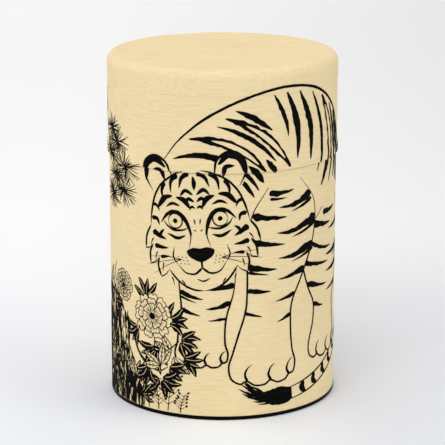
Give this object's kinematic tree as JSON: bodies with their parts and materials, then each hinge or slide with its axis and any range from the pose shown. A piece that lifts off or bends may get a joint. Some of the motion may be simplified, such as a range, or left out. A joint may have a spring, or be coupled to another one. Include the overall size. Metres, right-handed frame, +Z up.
{
  "type": "tea caddy",
  "caption": "Paper-covered cylindrical tin for loose tea, with a deep lift-off lid over a neck and an airtight inner lid with a turned knob.",
  "frame": {"origin": "centre of the ring the caddy stands on, in the plane of the table", "axes": "+Z up along the caddy's axis; the decorated front faces -Y, and the paper overlaps and lap seams are on the +Y side"},
  "size_m": [0.0764, 0.0764, 0.115],
  "materials": {
    "washi": "matte",
    "printed_ink": "matte",
    "tinplate": "satin",
    "black_lacquer": "satin",
    "turned_aluminium": "satin"
  },
  "bodies": {
    "body": {"base_cap": "black_lacquer", "body_tube": "tinplate", "inner_sleeve": "tinplate", "body_washi": "washi"},
    "lid": {"lid_wall": "tinplate", "lid_cap": "tinplate", "lid_side_washi": "washi", "lid_top_washi": "washi"},
    "inner_lid": {"inner_lid_pan": "tinplate", "inner_lid_knob": "turned_aluminium", "inner_lid_rivet": "turned_aluminium"}
  },
  "joints": [
    {"name": "lid_lift", "type": "slide", "parent": "body", "child": "lid", "axis": [0, 0, 1], "range_m": [0, 0.1]},
    {"name": "inner_lid_lift", "type": "slide", "parent": "body", "child": "inner_lid", "axis": [0, 0, 1], "range_m": [0, 0.04]}
  ],
  "couplings": [
    {"joint": "inner_lid_lift", "follows": "lid_lift", "ratio": 0.4}
  ]
}
